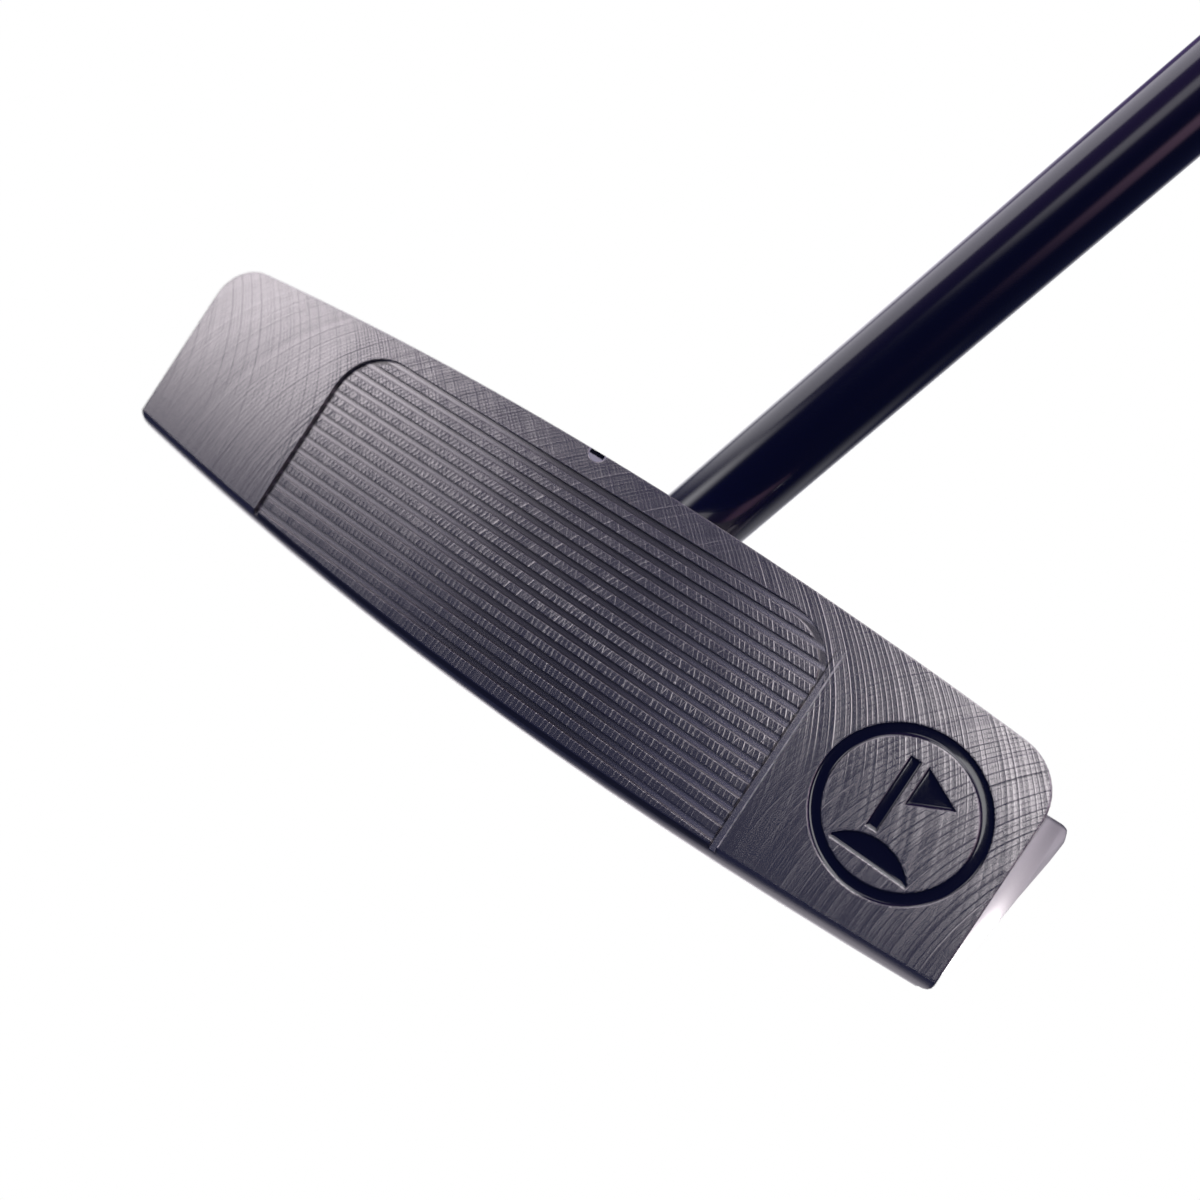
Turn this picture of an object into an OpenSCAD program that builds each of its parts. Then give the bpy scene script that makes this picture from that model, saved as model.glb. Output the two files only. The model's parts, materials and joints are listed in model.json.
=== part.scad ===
// Centre-shafted blade putter, right handed, standing at address.
// +X points to the heel, -Y is the side of the striking face, +Z is up.
// The origin is where the shaft axis pierces the ground plane, under the sight line.
// All lengths are in millimetres and all angles in degrees.
// Name endings: _r radius, _d diameter, _w width, _t thickness, _a angle,
// _x, _y, _z place on an axis, _at distance from the ground along the shaft.

/* [Head] */
// Length of the striking face from toe to heel
face_length = 112; // [104:1:124]
// Height of the top line over the ground at the middle
face_height = 29.4; // [28:0.1:32]
// Loft of the striking face
loft = 3; // [2:0.5:4]
// Thickness of the top line
topline_thickness = 6.2; // [5.6:0.1:6.4]
// Crown radius of the top line, seen from the front
crown_r = 560; // [450:10:800]
// Camber radius of the sole, seen from the front
camber_r = 525; // [450:5:800]
// Radius of the upper toe and heel corners
corner_r = 5.4; // [3:0.1:8]
// Radius of the rolled leading edge
leading_r = 3.3; // [2.5:0.1:4]
// Distance of the face from the shaft axis at ground level
face_offset = 12.8; // [12.6:0.1:13.4]
// Distance of the trailing edge from the shaft axis
tail_offset = 18.2; // [16:0.1:24]
// Height of the heel and toe bumpers beside the blade
bumper_height = 22.3; // [18:0.1:24]
// How far the bumpers flare out past the ends of the face
bumper_flare = 2.8; // [1:0.1:4]
// Half width of the rear cavity between the bumpers
cavity_half = 36.5; // [30:0.5:40]
// Height of the cavity floor beside the blade
floor_height = 7; // [6.5:0.1:8.5]

/* [Face grooves] */
// Number of horizontal grooves, with the border groove at the top
groove_count = 15; // [8:1:15]
// Distance from one groove to the next
groove_pitch = 1.605; // [1.5:0.005:1.65]
// Width of a groove
groove_w = 0.72; // [0.5:0.02:0.8]
// Depth of a groove
groove_depth = 0.42; // [0.2:0.02:0.6]
// Half width of the grooved area, to the outside of its border
groove_half = 33.4; // [28:0.1:34]
// Height of the upper edge of the grooved area in the face plane
groove_top = 26.45; // [26.2:0.05:26.6]
// Outer radius of the upper corners of the grooved area
groove_corner_r = 6.4; // [4:0.1:8]

/* [Heel badge] */
// Distance of the badge centre from the middle of the face
badge_x = 45.5; // [44:0.1:46]
// Height of the badge centre in the face plane
badge_z = 15.4; // [14.5:0.1:16]
// Outer radius of the badge ring
badge_r = 8.3; // [7:0.1:8.4]
// Width of the badge ring
badge_ring_w = 1.25; // [0.8:0.05:1.6]
// Depth of the engraved pockets
badge_depth = 0.7; // [0.4:0.05:1]
// How far the enamel stays below the face
enamel_sink = 0.12; // [0.05:0.01:0.2]

/* [Sight line] */
// Width of the sight channel across the top line
sight_w = 2.3; // [1.6:0.1:3]
// Depth of the sight channel
sight_depth = 1.1; // [1.1:0.05:1.6]
// Width of the dark stripe inside the channel
stripe_w = 1.9; // [1:0.1:2]
// Thickness of the dark stripe
stripe_t = 0.5; // [0.2:0.02:0.5]

/* [Shaft] */
// Lie angle between the shaft and the ground
lie = 71.5; // [69:0.5:74]
// Outside diameter of the parallel tip
tip_d = 9.4; // [9:0.1:9.6]
// Outside diameter of the butt
butt_d = 14.9; // [14:0.1:15.2]
// Wall thickness of the shaft tube
shaft_wall = 0.5; // [0.4:0.05:0.8]
// Length of the parallel tip section
tip_length = 215; // [150:5:260]
// Number of steps between tip and butt
step_count = 12; // [6:1:14]
// Length of one step
step_length = 31; // [25:1:33]
// Club length from the ground to the end of the grip, along the shaft
club_length = 876; // [838:1:890]

/* [Grip] */
// Length of the grip without its cap
grip_length = 262; // [240:1:270]
// Outside diameter of the grip at its mouth
grip_mouth_d = 19.6; // [19:0.1:21]
// Outside diameter of the grip at its butt
grip_butt_d = 27; // [25:0.1:30]
// Distance of the flat thumb side from the shaft axis at the butt
grip_flat = 11.4; // [11:0.1:13]
// Thickness of the outer skin
skin_t = 1.4; // [1:0.1:1.6]
// Thickness of the end cap
cap_t = 5; // [4:0.5:8]
// Diameter of the vent hole in the end cap
vent_d = 3.6; // [3:0.1:5]

/* [Hidden] */
eps = 0.01;
engrave_h = 2;            // height of the cutters for grooves and badge, reaching out of the face

// Blade
half_face = face_length/2;
crown_z = face_height - crown_r;
corner_x = half_face - corner_r;
corner_z = crown_z + sqrt(pow(crown_r - corner_r, 2) - pow(corner_x, 2));
crown_a = asin(corner_x/(crown_r - corner_r));
blade_back = -face_offset + face_height*tan(loft) + topline_thickness;
blade_depth = 12;         // reaches forward past the face, which trims it
foot_r = 1.1;             // rounding at the lower ends of the blade
foot_z = 4.5;
outline_bottom = -3;      // front outlines start here, and the sole trims them

// Body behind the blade
flank_x = half_face + bumper_flare;
flank_top = 40;
rear_corner_r = 13;
tail_bow = 1.2;           // bow of the trailing edge, seen from above
bumper_edge_r = 1.3;
bumper_level = 7;         // length of the level part of the bumpers behind the blade
bumper_fall = 23;         // slope of the bumpers behind it
// Flank of the bumpers: share of the flare, height
flank_draft = [
    [0.19, 5.2], [0.37, 6.8], [0.5, 8.7], [0.6, 11],
    [0.7, 14], [0.9, 18.5], [1, 22], [1, flank_top]
];

// Cavity and shaft boss
floor_slope = 5.5;        // the cavity floor falls to the rear
cavity_corner_r = 6;
cavity_splay = 2.5;       // how far each side wall opens out by cavity_end
cavity_end = 30;
cavity_cove_r = 3.2;      // fillet between the floor and the walls
foot_cove_r = 2.6;        // fillet round the foot of the boss
cove_steps = 4;
boss_r = 7.1;
boss_start_at = 3;
boss_top_at = 25.6;
boss_chamfer = 0.6;

// Sole
sole_apex = -0.35;        // the camber dips this far, and the ground plane cuts it flat
rock_r = 150;             // fore and aft radius of the sole
rock_y = 2;               // the lowest line of the sole
rock_z = sole_apex + rock_r;
lead_z = 2.05;            // lower edge of the face at the middle
lead_y = -face_offset + lead_z*tan(loft);
lead_a = 64;              // slope of the leading roll where it meets the face
lead_end_a = 4.5;         // slope of the leading roll where it meets the sole
lead_centre_y = lead_y + leading_r*sin(lead_a);
lead_centre_z = lead_z + leading_r*cos(lead_a);
tail_r = 6;               // radius of the rolled trailing edge
tail_a = 66;              // slope at the end of the trailing roll
tail_roll = 6.4;          // distance from the start of the trailing roll to the tail
envelope_front = 22;
envelope_rear = 30;
envelope_top = 44;
sweep_a = 16;             // sweep of the cambered envelope about its axis

// Shaft
bore_clear = 0.15;        // radial glue gap
bore_d = tip_d + 2*bore_clear;
tip_z = 4.3;              // height of the shaft tip over the ground
tip_at = tip_z/sin(lie);
step_rise = 1.2;          // length of the taper at each step
plug_gap = 0.5;
plug_length = 9;
butt_at = club_length - cap_t;
butt_bore_d = butt_d - 2*shaft_wall;

// Grip
mouth_at = butt_at - grip_length;
tape_t = 0.25;
core_d = butt_d + 2*tape_t;
grip_taper = 1.3;         // exponent of the grip profile
flat_a = 0.33;            // tilt of the flat thumb side to the shaft axis
collar_h = 14;
collar_d = grip_mouth_d + 0.6;
collar_mouth_d = grip_mouth_d - 2;
collar_taper = 2;         // length of the cone at the mouth
cap_chamfer = 1.5;
spigot_length = 9;
spigot_d = butt_bore_d - 0.1;
spigot_bore_d = butt_bore_d - 4;

// ---- helpers ------------------------------------------------------------

// Points of an arc between two angles; first = 1 leaves out the starting point
function arc(centre_x, centre_y, radius, from, to, steps, first = 0) = [
    for (i = [first:steps])
        let (angle = from + (to - from)*i/steps)
        [centre_x + radius*cos(angle), centre_y + radius*sin(angle)]
];
// Joins the +x half of an outline to its mirror image as one loop;
// end points that lie on the axis are skipped in the mirror image
function both_sides(points, skip_first = 0, skip_last = 0) = concat(points, [
    for (i = [len(points) - 1 - skip_last:-1:skip_first]) [-points[i][0], points[i][1]]
]);

// Draws its children in the face plane: x to the heel, y up the face, z out of the face
module in_face() translate([0, -face_offset, 0]) rotate([90 - loft, 0, 0]) children();

// Draws its children along the shaft: z runs up the shaft from the ground,
// x points to the thumb side, which faces away from the player
module on_shaft() rotate([0, 90 - lie, 0]) rotate([0, 0, 180]) children();

// Extrudes an outline in the x-z plane from the plane at y towards the face
module forward_from(y, depth)
    translate([0, y, 0]) rotate([90, 0, 0]) linear_extrude(depth) children();

// Cylinder or cone along z; the facets are set with $fn in the call
module rod(start, length, d, top_d = undef)
    translate([0, 0, start]) cylinder(h = length, d1 = d, d2 = is_undef(top_d) ? d : top_d);

// ---- head ---------------------------------------------------------------

// Lower end of a front outline, up to an angle on the foot rounding
function foot(end, steps) = concat([[half_face - 6, outline_bottom]],
    arc(half_face - foot_r, foot_z, foot_r, -90, end, steps));

// Front outline of the blade
module blade_outline() polygon(both_sides(concat(
    foot(0, 4),
    arc(corner_x, corner_z, corner_r, 0, 90 - crown_a, 10),
    arc(0, crown_z, crown_r, 90 - crown_a, 90, 12, first = 1)), skip_last = 1));

module blade_block() forward_from(blade_back, blade_depth) blade_outline();

// Plan outline of the body behind the blade: flared flanks, round corners, bowed tail
module rear_plan() {
    front_y = blade_back - 2.5;           // overlaps the blade
    flare_start = front_y + 3;
    flare_length = 9;
    corner_centre_x = flank_x - rear_corner_r;
    flare = [for (i = [1:12])
        let (share = i/12)
        [half_face + bumper_flare*(1 - cos(180*share))/2, flare_start + flare_length*share]];
    tail = [for (i = [1:10])
        let (share = 1 - i/10)
        [corner_centre_x*share, tail_offset + tail_bow*(1 - share*share)]];
    corner = arc(corner_centre_x, tail_offset - rear_corner_r, rear_corner_r, 0, 88, 12);
    polygon(both_sides(concat([[half_face, front_y]], flare, corner, tail), skip_last = 1));
}

// Front outline of the body behind the blade: drafted flanks and rolled lower corners
module rear_outline() polygon(both_sides(concat(
    [[0, outline_bottom]],
    foot(-30, 3),
    [for (station = flank_draft) [half_face + station[0]*bumper_flare, station[1]]],
    [[0, flank_top]]), skip_first = 1, skip_last = 1));

// Front outline of the bumper tops: flat, with rounded outer corners
module bumper_top() polygon(both_sides(concat([[flank_x, -60]],
    arc(flank_x - bumper_edge_r, -bumper_edge_r, bumper_edge_r, 0, 90, 6))));

module rear_block() intersection() {
    translate([0, 0, -4]) linear_extrude(44) rear_plan();
    forward_from(40, 60) rear_outline();
    // the bumpers run level behind the blade and then fall away to the rear
    translate([0, 0, bumper_height]) forward_from(60, 90) bumper_top();
    translate([0, blade_back + bumper_level, bumper_height]) rotate([-bumper_fall, 0, 0])
        forward_from(60, 100) bumper_top();
}

// Plan of the rear cavity, drawn in by inset, open at the trailing edge
module cavity_plan(inset) polygon(both_sides(concat(
    arc(cavity_half - cavity_corner_r, blade_back + cavity_corner_r,
        cavity_corner_r - inset, -90, 0, 6),
    [[cavity_half + cavity_splay - inset, cavity_end]])));

// Inset and height of step i up a fillet
function cove_inset(radius, i) = radius*(1 - sin(90*i/cove_steps));
function cove_height(radius, i) = radius*(1 - cos(90*i/cove_steps));

// Cavity between the bumpers: upright walls, a floor that falls to the rear,
// and a fillet between them
module cavity() hull() {
    for (i = [0:cove_steps])
        translate([0, blade_back, floor_height + cove_height(cavity_cove_r, i)])
            rotate([-floor_slope, 0, 0]) translate([0, -blade_back, 0])
                linear_extrude(eps) cavity_plan(cove_inset(cavity_cove_r, i));
    translate([0, 0, 50]) linear_extrude(eps) cavity_plan(0);
}

// Disc of the fillet round the boss foot, parallel to the cavity floor
module foot_disc(i) {
    sink = 0.1;                           // the lowest disc lies this far under the floor
    z = floor_height + blade_back*tan(floor_slope) - sink + cove_height(foot_cove_r, i);
    translate([z/tan(lie), 0, z]) rotate([-floor_slope, 0, 0])
        cylinder(h = eps, r = boss_r + cove_inset(foot_cove_r, i), $fn = 64);
}
// Boss that carries the shaft, leaning with it
module shaft_boss() {
    on_shaft() {
        rod(boss_start_at, boss_top_at - boss_chamfer - boss_start_at, 2*boss_r, $fn = 64);
        rod(boss_top_at - boss_chamfer - eps, boss_chamfer + eps,
            2*boss_r, 2*(boss_r - boss_chamfer), $fn = 64);
    }
    for (i = [0:cove_steps - 1]) hull() {
        foot_disc(i);
        foot_disc(i + 1);
    }
}

// Height of the rocked sole at y, on the centre line
function rock_height(y) = rock_z - sqrt(rock_r*rock_r - pow(y - rock_y, 2));

// Everything above the sole: cambered to toe and heel, rolled at the leading and trailing edges
module sole_envelope() {
    rock_start = lead_centre_y - leading_r*sin(lead_end_a);
    rock_end = tail_offset + tail_bow - tail_roll;
    rock_end_a = asin((rock_end - rock_y)/rock_r);
    tail_centre_y = rock_end - tail_r*sin(rock_end_a);
    tail_centre_z = rock_height(rock_end) + tail_r*cos(rock_end_a);
    tail_end_y = tail_centre_y + tail_r*sin(tail_a);
    tail_end_z = tail_centre_z - tail_r*cos(tail_a);
    // side view as [y, z], from front to rear
    profile = concat(
        [[-envelope_front, envelope_top],
         [-envelope_front, lead_z + (envelope_front + lead_y)*tan(lead_a)]],
        arc(lead_centre_y, lead_centre_z, leading_r, -90 - lead_a, -90 - lead_end_a, 6),
        [for (i = [1:8]) let (y = rock_start + (rock_end - rock_start)*i/8) [y, rock_height(y)]],
        arc(tail_centre_y, tail_centre_z, tail_r, rock_end_a - 90, tail_a - 90, 6, first = 1),
        [[envelope_rear, tail_end_z + (envelope_rear - tail_end_y)*tan(tail_a)],
         [envelope_rear, envelope_top]]);
    intersection() {
        // the profile swings about an axis parallel to y, camber_r above the ground
        translate([0, 0, camber_r]) rotate([90, 0, 0]) rotate([0, 0, -90 - sweep_a/2])
            rotate_extrude(angle = sweep_a, $fn = 900)
                polygon([for (point = profile) [camber_r - point[1], -point[0]]]);
        translate([-80, -40, 0]) cube([160, 80, envelope_top]);
    }
}

// Half space behind the striking face
module behind_face() in_face() translate([-90, -30, -60]) cube([180, 90, 60]);

// Horizontal bar i of the face pattern
module groove_bar(i)
    translate([-groove_half + groove_w/2, groove_top - groove_pitch*i - groove_w])
        square([2*groove_half - groove_w, groove_w]);

// Outline of the grooved area, drawn in by inset and running out below the face
module groove_field(inset) polygon(both_sides(concat([[groove_half - inset, -4]],
    arc(groove_half - groove_corner_r, groove_top - groove_corner_r,
        groove_corner_r - inset, 0, 90, 10))));

module grooves() in_face() translate([0, 0, -groove_depth]) linear_extrude(engrave_h) {
    difference() {
        groove_field(0);
        groove_field(groove_w);
    }
    intersection() {
        groove_field(groove_w/2);
        union() for (i = [1:groove_count - 1]) groove_bar(i);
    }
}

// Flat shapes of the heel badge: a ring round a flag on a green
module badge_ring() difference() {
    circle(r = badge_r, $fn = 96);
    circle(r = badge_r - badge_ring_w, $fn = 96);
}
module badge_pole() translate([-1.9, -2.6]) square([1.2, 7.6]);
module badge_pennant() polygon([[0, 5], [0, 0.9], [4.1, 2.95]]);
module badge_green()
    polygon(concat(arc(0, -8.1, 5.1, 142, 38, 12), [[4.02, -5.35], [-4.02, -5.35]]));

// Extrudes a badge shape outwards from the floor of the pockets
module in_badge(height)
    in_face() translate([badge_x, badge_z, -badge_depth]) linear_extrude(height) children();
module badge_pockets() in_badge(engrave_h) {
    badge_ring();
    badge_pole();
    badge_pennant();
    badge_green();
}
// Enamel that fills a pocket, a little below the face
module enamel() in_badge(badge_depth - enamel_sink) children();

// Cross section of the sight channel: a round-bottomed slot under the top line
module sight_section() {
    round_z = face_height - sight_depth + sight_w/2;
    translate([0, round_z]) circle(d = sight_w, $fn = 48);
    translate([-sight_w/2, round_z]) square([sight_w, 4]);
}
// Cross section of the dark stripe, flush with the top line
module stripe_section()
    translate([-stripe_w/2, face_height - stripe_t]) square([stripe_w, stripe_t]);

// Extrudes a section across the top line, longer by overrun at each end
module across_topline(overrun = 0)
    forward_from(blade_back + overrun, topline_thickness + 2 + 2*overrun) children();

// Hole for the shaft, a little deeper than the tip
module shaft_bore() on_shaft() rod(tip_at - 0.2, 60, bore_d, $fn = 64);

module head_body() color("dimgray") difference() {
    intersection() {
        union() {
            difference() {
                union() {
                    blade_block();
                    rear_block();
                }
                cavity();
            }
            shaft_boss();
        }
        sole_envelope();
        behind_face();
    }
    shaft_bore();
    grooves();
    badge_pockets();
    across_topline(1) sight_section();
}

module badge_ring_enamel() color("midnightblue") enamel() badge_ring();
module badge_flagpole_enamel() color("midnightblue") enamel() badge_pole();
module badge_pennant_enamel() color("midnightblue") enamel() badge_pennant();
module badge_green_enamel() color("midnightblue") enamel() badge_green();

// White filling of the channel, round the stripe and no higher than the top line
module sight_line_white() color("white") intersection() {
    across_topline() difference() {
        intersection() {
            sight_section();
            translate([-5, face_height - 5]) square([10, 5]);
        }
        stripe_section();
    }
    behind_face();
}
module sight_line_stripe() color("black") intersection() {
    across_topline() intersection() {
        stripe_section();
        sight_section();
    }
    behind_face();
}

// ---- shaft --------------------------------------------------------------

// Outer radius of step i, and the place where it reaches that radius
function step_r(i) = (tip_d + (butt_d - tip_d)*i/step_count)/2;
function step_at(i) = tip_length + tip_at + step_length*(i - 1);

// Solid of the stepped shaft, drawn in by inset
module shaft_solid(inset, start, end) rotate_extrude($fn = 72) polygon(concat(
    [[0, start], [step_r(0) - inset, start]],
    [for (i = [1:step_count]) each [
        [step_r(i - 1) - inset, step_at(i) - step_rise],
        [step_r(i) - inset, step_at(i)]
    ]],
    [[butt_d/2 - inset, end], [0, end]]));

module shaft_tube() color([0.04, 0.04, 0.06]) on_shaft() difference() {
    shaft_solid(0, tip_at, butt_at);
    shaft_solid(shaft_wall, tip_at - 1, butt_at + 1);
}

// Glue sleeve between the shaft and its bore, ending just below the top of the boss
module shaft_bond() color("khaki") on_shaft() difference() {
    rod(tip_at, boss_top_at - tip_at - 0.4, bore_d, $fn = 64);
    rod(tip_at - 1, 60, tip_d, $fn = 64);
}

module shaft_tip_plug() color("burlywood") on_shaft()
    rod(tip_at + plug_gap, plug_length, tip_d - 2*shaft_wall, $fn = 48);

// ---- grip ---------------------------------------------------------------

// Outer radius of the grip at a distance along the shaft
function grip_r(at) = grip_mouth_d/2
    + (grip_butt_d - grip_mouth_d)/2*pow(max(0, min(1, (at - mouth_at)/grip_length)), grip_taper);

// Block on the shaft side of the plane x = 0, to cut the flat thumb side
module flat_block(bottom, height) translate([-60, -40, bottom]) cube([60, 80, height]);

// Solid of the grip, drawn in by inset
module grip_solid(inset, start, end) intersection() {
    rotate_extrude($fn = 72) polygon(concat(
        [[0, start]],
        [for (i = [0:16]) let (at = start + (end - start)*i/16) [grip_r(at) - inset, at]],
        [[0, end]]));
    // the flat thumb side runs out towards the mouth
    translate([grip_flat - inset, 0, butt_at]) rotate([0, flat_a, 0]) flat_block(-400, 440);
}

module grip_tape() color("ivory") on_shaft() difference() {
    rod(mouth_at + 1, grip_length - 2, core_d, $fn = 72);
    rod(mouth_at, grip_length + 10, butt_d, $fn = 72);
}
module grip_core() color("darkslategray") on_shaft() difference() {
    grip_solid(skin_t, mouth_at + collar_h, butt_at);
    rod(mouth_at - 5, grip_length + 10, core_d, $fn = 72);
}
module grip_skin() color([0.06, 0.06, 0.07]) on_shaft() difference() {
    grip_solid(0, mouth_at + collar_h, butt_at);
    grip_solid(skin_t, mouth_at + collar_h - 5, butt_at + 5);
}
// Soft collar that closes the mouth of the grip round the shaft
module grip_collar() color([0.05, 0.05, 0.05]) on_shaft() difference() {
    union() {
        rod(mouth_at + collar_taper, collar_h - collar_taper, collar_d, $fn = 72);
        rod(mouth_at, collar_taper + eps, collar_mouth_d, collar_d, $fn = 72);
    }
    rod(mouth_at - 5, 40, core_d, $fn = 72);
}
// Chamfered cap with a hollow spigot that reaches into the shaft
module grip_end_cap() color([0.03, 0.03, 0.03]) on_shaft() difference() {
    union() {
        intersection() {
            union() {
                rod(butt_at, cap_t - cap_chamfer, grip_butt_d, $fn = 72);
                rod(butt_at + cap_t - cap_chamfer - eps, cap_chamfer + eps,
                    grip_butt_d, grip_butt_d - 2*cap_chamfer, $fn = 72);
            }
            translate([grip_flat, 0, butt_at]) flat_block(-1, 40);
        }
        rod(butt_at - spigot_length, spigot_length + eps, spigot_d, $fn = 64);
    }
    // vent hole through the cap, opening into the hollow spigot
    rod(butt_at - 1, 20, vent_d, $fn = 48);
    rod(butt_at - 20, 20, spigot_bore_d, $fn = 48);
}

head_body();
badge_ring_enamel();
badge_flagpole_enamel();
badge_pennant_enamel();
badge_green_enamel();
sight_line_white();
sight_line_stripe();
shaft_tube();
shaft_bond();
shaft_tip_plug();
grip_tape();
grip_core();
grip_skin();
grip_collar();
grip_end_cap();
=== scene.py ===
"""Looks of the blade putter: materials, enamel fills, shaft, grip, studio light and camera."""
import json
import math

import bmesh
import bpy
import numpy as np
from mathutils import Matrix, Vector

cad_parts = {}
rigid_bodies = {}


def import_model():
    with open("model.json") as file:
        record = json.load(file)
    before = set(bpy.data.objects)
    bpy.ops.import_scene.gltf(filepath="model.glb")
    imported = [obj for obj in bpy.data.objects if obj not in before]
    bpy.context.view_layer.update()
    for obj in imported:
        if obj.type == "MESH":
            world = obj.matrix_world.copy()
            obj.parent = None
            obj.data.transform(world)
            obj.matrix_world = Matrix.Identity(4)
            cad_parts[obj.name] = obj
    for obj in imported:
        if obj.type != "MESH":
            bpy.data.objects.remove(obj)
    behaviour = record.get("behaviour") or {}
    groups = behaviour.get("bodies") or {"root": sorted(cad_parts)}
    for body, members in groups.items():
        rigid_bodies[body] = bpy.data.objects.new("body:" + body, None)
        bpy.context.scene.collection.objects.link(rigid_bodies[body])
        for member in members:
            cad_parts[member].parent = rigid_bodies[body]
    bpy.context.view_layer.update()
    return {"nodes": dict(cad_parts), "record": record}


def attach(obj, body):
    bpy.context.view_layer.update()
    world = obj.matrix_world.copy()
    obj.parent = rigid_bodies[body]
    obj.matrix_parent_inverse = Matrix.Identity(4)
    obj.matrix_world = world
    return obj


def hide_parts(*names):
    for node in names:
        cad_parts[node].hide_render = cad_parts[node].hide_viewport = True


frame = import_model()
NODES = frame["nodes"]

# ---------------------------------------------------------------- geometry of the frame (mm)
LOFT = math.radians(3.0)
SL, CL = math.sin(LOFT), math.cos(LOFT)
LIE = math.radians(71.5)
FACE_Y = -12.8
BADGE = (45.5, 15.4)
CUT_R, CUT_Z, CUT_PITCH = 31.4, 3.8, 0.583        # fly-cutter radius, height of its centre, feed


def face_pt(x, w, depth=0.0):
    """Point of the face plane, in metres: x to the heel, w up the face, depth into the head."""
    return Vector((x, FACE_Y + w * SL + depth * CL, w * CL - depth * SL)) * 0.001


# ---------------------------------------------------------------- node helpers
class NT:
    """Short names for building a node tree."""

    def __init__(self, tree):
        self.t = tree
        self.n = tree.nodes
        self.l = tree.links

    def node(self, kind, **props):
        nd = self.n.new(kind)
        for k, v in props.items():
            setattr(nd, k, v)
        return nd

    def put(self, socket, v):
        if v is None:
            return
        if isinstance(v, bpy.types.NodeSocket):
            self.l.new(v, socket)
        else:
            socket.default_value = v

    def m(self, op, a, b=None, c=None, clamp=False):
        nd = self.node("ShaderNodeMath", operation=op, use_clamp=clamp)
        for i, v in enumerate((a, b, c)):
            self.put(nd.inputs[i], v)
        return nd.outputs[0]

    def vm(self, op, a, b=None, scale=None):
        nd = self.node("ShaderNodeVectorMath", operation=op)
        self.put(nd.inputs[0], a)
        if b is not None:
            self.put(nd.inputs[1], b)
        if scale is not None:
            self.put(nd.inputs["Scale"], scale)
        return nd.outputs["Value"] if op in ("DOT_PRODUCT", "LENGTH") else nd.outputs["Vector"]

    def sep(self, v):
        nd = self.node("ShaderNodeSeparateXYZ")
        self.l.new(v, nd.inputs[0])
        return nd.outputs

    def comb(self, x, y, z):
        nd = self.node("ShaderNodeCombineXYZ")
        for s, v in zip(nd.inputs, (x, y, z)):
            self.put(s, v)
        return nd.outputs[0]

    def step(self, v, a, b, lo=0.0, hi=1.0):
        """Smooth step of v from a to b, mapped to lo..hi."""
        nd = self.node("ShaderNodeMapRange", interpolation_type="SMOOTHSTEP", clamp=True)
        self.put(nd.inputs["Value"], v)
        nd.inputs["From Min"].default_value = a
        nd.inputs["From Max"].default_value = b
        nd.inputs["To Min"].default_value = lo
        nd.inputs["To Max"].default_value = hi
        return nd.outputs["Result"]

    def band(self, v, a0, a1, b0, b1):
        """1 between a1 and b0, fading to 0 at a0 and b1."""
        return self.m("MULTIPLY", self.step(v, a0, a1), self.step(v, b0, b1, 1.0, 0.0))

    def noise(self, vec, scale, detail=2.0, rough=0.5, dims="3D", w=None, distortion=0.0):
        nd = self.node("ShaderNodeTexNoise", noise_dimensions=dims)
        if vec is not None and dims != "1D":
            self.put(nd.inputs["Vector"], vec)
        if w is not None:
            self.put(nd.inputs["W"], w)
        nd.inputs["Scale"].default_value = scale
        nd.inputs["Detail"].default_value = detail
        nd.inputs["Roughness"].default_value = rough
        nd.inputs["Distortion"].default_value = distortion
        return nd.outputs["Fac"]

    def white(self, v):
        nd = self.node("ShaderNodeTexWhiteNoise", noise_dimensions="1D")
        self.put(nd.inputs["W"], v)
        return nd.outputs["Value"]

    def mix(self, f, a, b):
        nd = self.node("ShaderNodeMix", data_type="FLOAT")
        self.put(nd.inputs[0], f)
        self.put(nd.inputs[2], a)
        self.put(nd.inputs[3], b)
        return nd.outputs[0]

    def mixc(self, f, a, b):
        nd = self.node("ShaderNodeMix", data_type="RGBA")
        self.put(nd.inputs[0], f)
        self.put(nd.inputs[6], a)
        self.put(nd.inputs[7], b)
        return nd.outputs[2]


def new_mat(name):
    mat = bpy.data.materials.new(name)
    mat.use_nodes = True
    t = NT(mat.node_tree)
    for nd in list(t.n):
        t.n.remove(nd)
    out = t.node("ShaderNodeOutputMaterial")
    bsdf = t.node("ShaderNodeBsdfPrincipled")
    t.l.new(bsdf.outputs[0], out.inputs["Surface"])
    return mat, t, bsdf


def simple(name, color, rough, metal=0.0, coat=0.0, coat_rough=0.03, spec=0.5, bump=None):
    """Plain material; bump is (scale per metre, depth in metres, detail)."""
    mat, t, b = new_mat(name)
    b.inputs["Base Color"].default_value = (*color, 1)
    b.inputs["Roughness"].default_value = rough
    b.inputs["Metallic"].default_value = metal
    b.inputs["Coat Weight"].default_value = coat
    b.inputs["Coat Roughness"].default_value = coat_rough
    b.inputs["Specular IOR Level"].default_value = spec
    if bump:
        tc = t.node("ShaderNodeTexCoord")
        h = t.noise(tc.outputs["Object"], bump[0], bump[2])
        bn = t.node("ShaderNodeBump")
        bn.inputs["Strength"].default_value = 1.0
        bn.inputs["Distance"].default_value = bump[1]
        t.put(bn.inputs["Height"], h)
        t.put(b.inputs["Normal"], bn.outputs[0])
    return mat


# ---------------------------------------------------------------- milled steel
STEEL = (0.540, 0.502, 0.510)


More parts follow.
